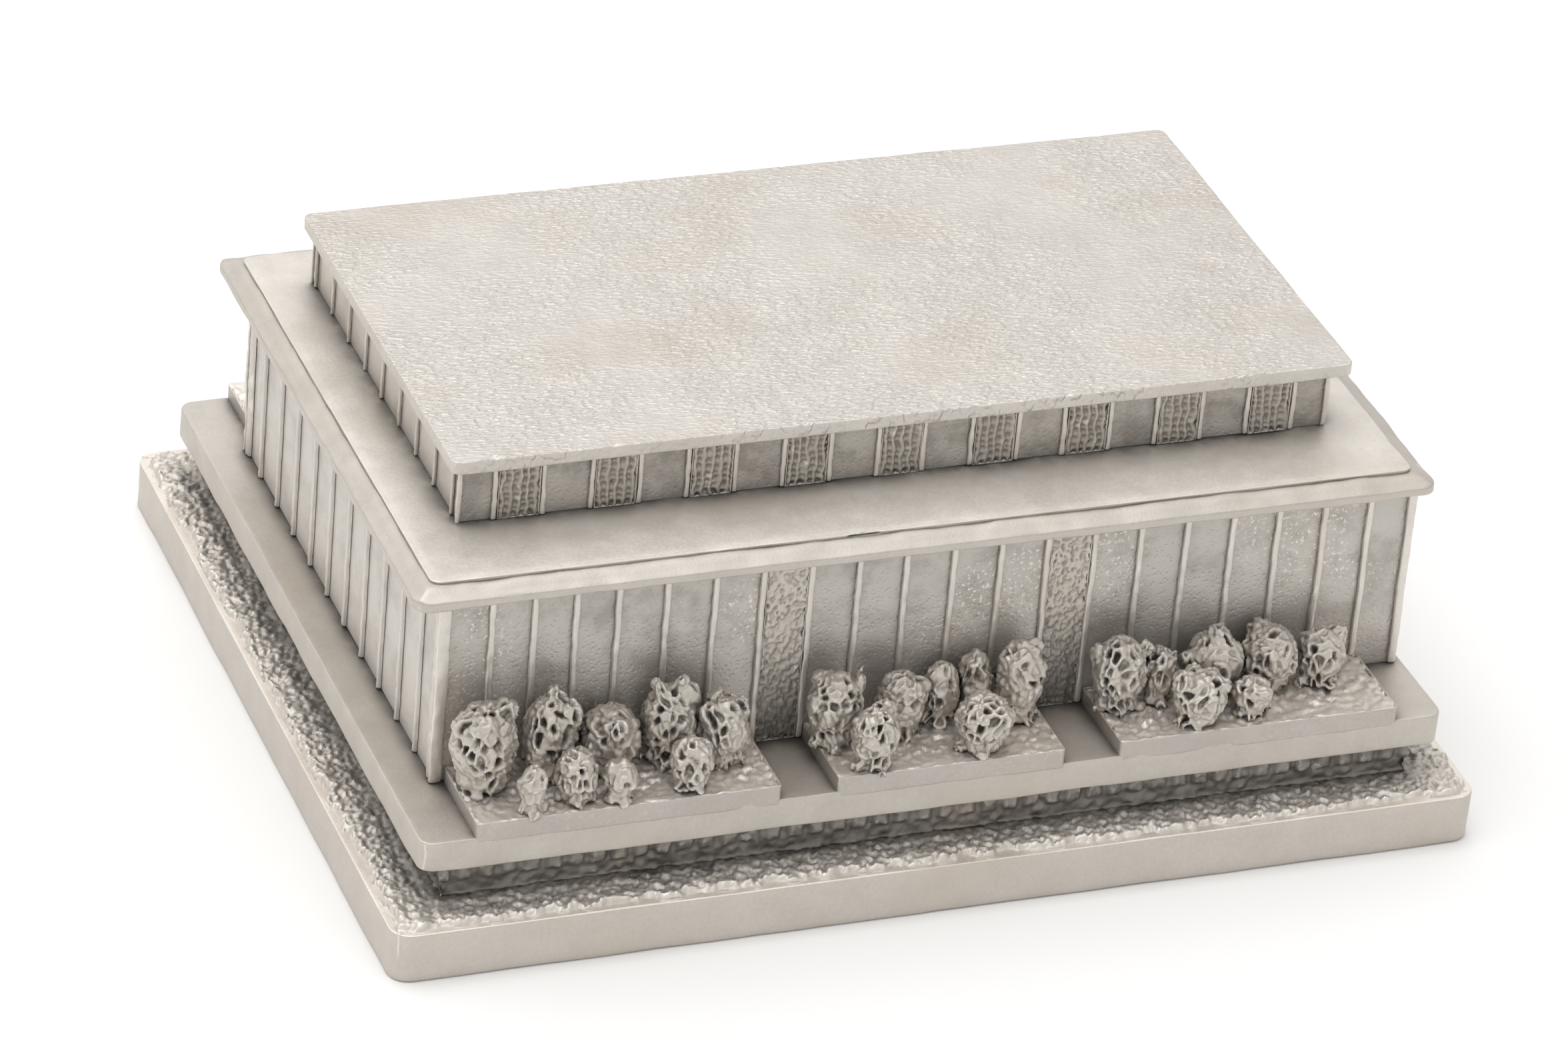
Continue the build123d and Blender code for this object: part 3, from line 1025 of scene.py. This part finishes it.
def fuse(parts, voxel):
    """One closed skin round overlapping lumps, with even faces of the voxel's size."""
    points, faces = join_meshes(parts)
    mesh = bpy.data.meshes.new("lumps")
    mesh.from_pydata(points.tolist(), [], faces)
    holder = bpy.data.objects.new("lumps", mesh)
    bpy.context.scene.collection.objects.link(holder)
    remesh = holder.modifiers.new("fuse", "REMESH")
    remesh.mode = "VOXEL"
    remesh.voxel_size = voxel
    fused = holder.evaluated_get(bpy.context.evaluated_depsgraph_get())
    ready = bpy.data.meshes.new_from_object(fused)
    points = np.array([v.co[:] for v in ready.vertices])
    normals = np.array([n.vector[:] for n in ready.vertex_normals])
    faces = [list(p.vertices) for p in ready.polygons]
    bpy.data.objects.remove(holder)
    bpy.data.meshes.remove(mesh)
    bpy.data.meshes.remove(ready)
    return points, normals, faces


def coral_skin(points, normals, seed, depth):
    """Carve a net of rounded ridges with uneven pits, some of them deep holes."""
    random = np.random.default_rng(seed)
    warp = np.stack([grain_field(points, 2.4, seed + k) for k in (1, 2, 3)], axis=1) * 0.9
    lean = random.uniform(-0.5, 0.5)
    stretched = (points + warp) * (1.0, 1.0, 0.55)
    stretched[:, 0] += lean * points[:, 2] * 0.6
    centres = []
    for candidate in stretched[random.permutation(len(stretched))[:PIT_TRIES]]:
        apart = random.uniform(0.5, 0.95)
        if all(((candidate - other) ** 2).sum() > apart**2 for other in centres):
            centres.append(candidate)
    away = np.stack([np.linalg.norm(stretched - centre, axis=1) for centre in centres], axis=1)
    nearest = np.argmin(away, axis=1)
    away.sort(axis=1)
    from_ridge = away[:, 1] - away[:, 0]
    depths = random.choice(PIT_DEPTHS, size=len(centres), p=PIT_SHARES)
    width = random.uniform(0.3, 0.5, size=len(centres))
    deep = depths[nearest] * ramp(from_ridge, 0.12, 0.12 + width[nearest])
    grit = layered_grain(points, 0.8, seed + 6, 3)
    folds = 1 - ramp(np.abs(grain_field(points + warp * 2, 1.3, seed + 9)), 0.0, 0.12)
    sink = depth * (deep + 0.15 * folds) + 0.22 * grit
    return points - normals * np.clip(sink, -0.15, 1.2)[:, None]


def shrub_mesh(foot, radius, height, knobs, seed, depth=1.0):
    """A pierced coral-like shrub: a dome on spreading feet, side lumps and any knobs on top."""
    random = np.random.default_rng(seed)
    radii = np.array([radius, radius, height * 0.5])
    middle = foot + (0, 0, height * 0.52)
    parts = [ellipsoid(middle, radii * (0.92, 0.9, 0.96), 4)]
    parts.append(ellipsoid(foot + (0, 0, height * 0.12), radii * (0.72, 0.7, 0.5), 3))

    for turn in np.linspace(0, 2 * math.pi, SIDE_LUMPS, endpoint=False):
        turn = turn + random.uniform(-0.4, 0.4)
        lean = random.uniform(-0.35, 0.75)
        size = radii * random.uniform(0.3, 0.46)
        out = np.array([math.cos(turn), math.sin(turn), 0]) * radii * random.uniform(0.5, 0.68)
        parts.append(ellipsoid(middle + out + (0, 0, lean * radii[2] * 0.8), size, 3))

    for turn in np.linspace(0, 2 * math.pi, ROOTS, endpoint=False):
        turn = turn + random.uniform(-0.5, 0.5)
        out = np.array([math.cos(turn), math.sin(turn), 0]) * radius * random.uniform(0.5, 0.75)
        root = np.array([0.55, 0.55, 0.5]) * random.uniform(0.8, 1.3)
        parts.append(ellipsoid(foot + out + (0, 0, 0.1), root, 2))

    for offset, size in knobs:
        parts.append(ellipsoid(middle + np.array(offset) * radii, np.ones(3) * radius * size, 3))
    points, normals, faces = fuse(parts, LUMP_VOXEL)
    return coral_skin(points, normals, seed, depth), faces


# Knobs that stand up from particular shrubs: (offset as shares of the radii, size).
KNOBS = {
    "shrub_left_1": [((0.55, 0.0, 0.72), 0.36)],
    "shrub_left_2": [((0.12, 0.0, 1.0), 0.30), ((0.22, 0.0, 0.78), 0.38)],
    "shrub_left_4": [
        ((-0.5, 0.0, 1.02), 0.22),
        ((-0.38, 0.0, 0.85), 0.22),
        ((0.35, 0.0, 1.02), 0.24),
        ((0.28, 0.0, 0.85), 0.25),
    ],
    "shrub_left_6": [((0.0, 0.0, 0.62), 0.75)],
    "shrub_centre_1": [
        ((0.85, 0.1, 0.75), 0.16),
        ((0.85, 0.1, 0.95), 0.14),
        ((0.7, 0.0, 0.5), 0.3),
    ],
    "shrub_centre_6": [((0.45, 0.0, 0.75), 0.38)],
    "shrub_right_1": [((0.85, 0.0, 0.55), 0.26)],
    "shrub_right_3": [((-1.05, 0.0, 0.25), 0.22), ((0.05, 0.0, 0.85), 0.42)],
}

# Two small shrubs that are smoother lumps than the rest.
SMOOTH_SHRUBS = ("shrub_left_6", "shrub_left_8")
SHALLOW = 0.35


def make_shrub(node, seed):
    """One front shrub, with its own knobs if it has any."""
    low, high = box_mm(node)
    depth = SHALLOW if node in SMOOTH_SHRUBS else 1.0
    foot = np.array([(low[0] + high[0]) / 2, (low[1] + high[1]) / 2, low[2]])
    radius, height = (high[0] - low[0]) / 2 * SHRUB_SPREAD, high[2] - low[2]
    points, faces = shrub_mesh(foot, radius, height, KNOBS.get(node, []), seed, depth)
    new_piece("coral_" + node, points, faces, shrub_metal, [node])


REAR_PITCH = 1.35


def make_rear_row(node, seed):
    """An even row of shrubs in a rear bed, without knobs."""
    low, high = box_mm(node)
    width, depth = high[0] - low[0], high[1] - low[1]
    gaps = round((width - depth) / (REAR_PITCH * depth))
    radius, height = depth / 2 * SHRUB_SPREAD, high[2] - low[2]
    parts = []
    for number in range(gaps + 1):
        x = low[0] + depth / 2 + (width - depth) * number / gaps
        foot = np.array([x, (low[1] + high[1]) / 2, low[2]])
        parts.append(shrub_mesh(foot, radius, height, [], seed + number))
    points, faces = join_meshes(parts)
    new_piece("coral_" + node, points, faces, shrub_metal, [node])


# ---------------------------------------------------------------- studio
FLOOR_REACH = 3
LIGHT_AIM = (0, 0, 0.015)


def make_floor():
    """A wide pale paper floor."""
    reach = FLOOR_REACH
    floor = bpy.data.meshes.new("floor")
    corners = [(-reach, -reach, 0), (reach, -reach, 0), (reach, reach, 0), (-reach, reach, 0)]
    floor.from_pydata(corners, [], [(0, 1, 2, 3)])
    ground = bpy.data.objects.new("floor", floor)
    bpy.context.scene.collection.objects.link(ground)
    paper = bpy.data.materials.new("white_paper")
    paper.use_nodes = True
    shader = paper.node_tree.nodes["Principled BSDF"]
    shader.inputs["Base Color"].default_value = (0.93, 0.93, 0.925, 1)
    shader.inputs["Roughness"].default_value = 0.9
    floor.materials.append(paper)


def soft_light(name, place, size, power):
    """A round soft light aimed at the model's middle."""
    data = bpy.data.lights.new(name, "AREA")
    data.shape = "DISK"
    data.size = size
    data.energy = power
    lamp = bpy.data.objects.new(name, data)
    lamp.location = place
    aim = Vector(LIGHT_AIM) - Vector(place)
    lamp.rotation_mode = "QUATERNION"
    lamp.rotation_quaternion = aim.to_track_quat("-Z", "Y")
    bpy.context.scene.collection.objects.link(lamp)


def make_room():
    """A pale room: brighter overhead, dimmer in front and at both sides, plain white to the camera."""
    world = bpy.data.worlds.new("studio_room")
    bpy.context.scene.world = world
    world.use_nodes = True
    world.node_tree.nodes.clear()
    wire = Wiring(world.node_tree)
    toward = wire.node("ShaderNodeTexCoord").outputs["Generated"]
    parts = wire.node("ShaderNodeSeparateXYZ", {"Vector": toward})
    height = wire.spread(parts.outputs["Z"], -0.1, 0.8, 0.90, 1.15)
    front = wire.spread(parts.outputs["Y"], -0.9, 0.2, 0.82, 1.0)
    right = wire.spread(parts.outputs["X"], -0.2, 0.9, 1.0, 0.75)
    left = wire.spread(parts.outputs["X"], -0.9, 0.0, 0.74, 1.0)
    sides = wire.math("MULTIPLY", left, right)
    level = wire.math("MULTIPLY", wire.math("MULTIPLY", height, front), sides)
    seen = wire.node("ShaderNodeLightPath").outputs["Is Camera Ray"]
    strength = wire.mix(seen, level, (1.0, 1.0, 1.0, 1))
    sky = wire.node("ShaderNodeBackground", {"Color": (1.0, 0.995, 0.985, 1)})
    wire.feed(sky.inputs["Strength"], strength)
    result = wire.node("ShaderNodeOutputWorld")
    world.node_tree.links.new(sky.outputs[0], result.inputs[0])


def make_studio():
    """A pale floor, one broad soft light from above and behind, a faint one at the left."""
    make_floor()
    soft_light("overhead_softbox", (-0.14, 0.14, 0.8), size=0.8, power=2.6)
    soft_light("left_softbox", (-0.9, -0.1, 0.45), size=0.5, power=0.3)
    make_room()
    bpy.context.scene.view_settings.view_transform = "Standard"


# ---------------------------------------------------------------- build everything
make_camera()
make_studio()
make_plinth()
make_ground()
make_podium()
make_terrace()
beds = [f"{row}_bed_{side}" for row in ("front", "rear") for side in ("left", "centre", "right")]
for number, node in enumerate(beds):
    make_bed(node, 100 + number)
make_hall_ribs()
make_door_grilles()
make_cornice()
make_deck()
make_storey_fins()
make_louvres()
make_roof()
shrubs = sorted(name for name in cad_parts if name.startswith("shrub_"))
for number, node in enumerate(shrubs):
    make_shrub(node, 200 + 11 * number)
for number, side in enumerate(("left", "centre", "right")):
    make_rear_row(f"rear_shrubs_{side}", 500 + 17 * number)

# The eight plain walls keep their own meshes and only take a metal.
WALL_METALS = {
    "hall_front_wall": panel_metal,
    "hall_rear_wall": panel_metal,
    "hall_left_wall": side_metal,
    "hall_right_wall": side_metal,
    "penthouse_front_wall": storey_metal,
    "penthouse_rear_wall": storey_metal,
    "penthouse_left_wall": storey_side_metal,
    "penthouse_right_wall": storey_side_metal,
}
for name, metal in WALL_METALS.items():
    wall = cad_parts[name]
    wall.data.materials.clear()
    wall.data.materials.append(metal)
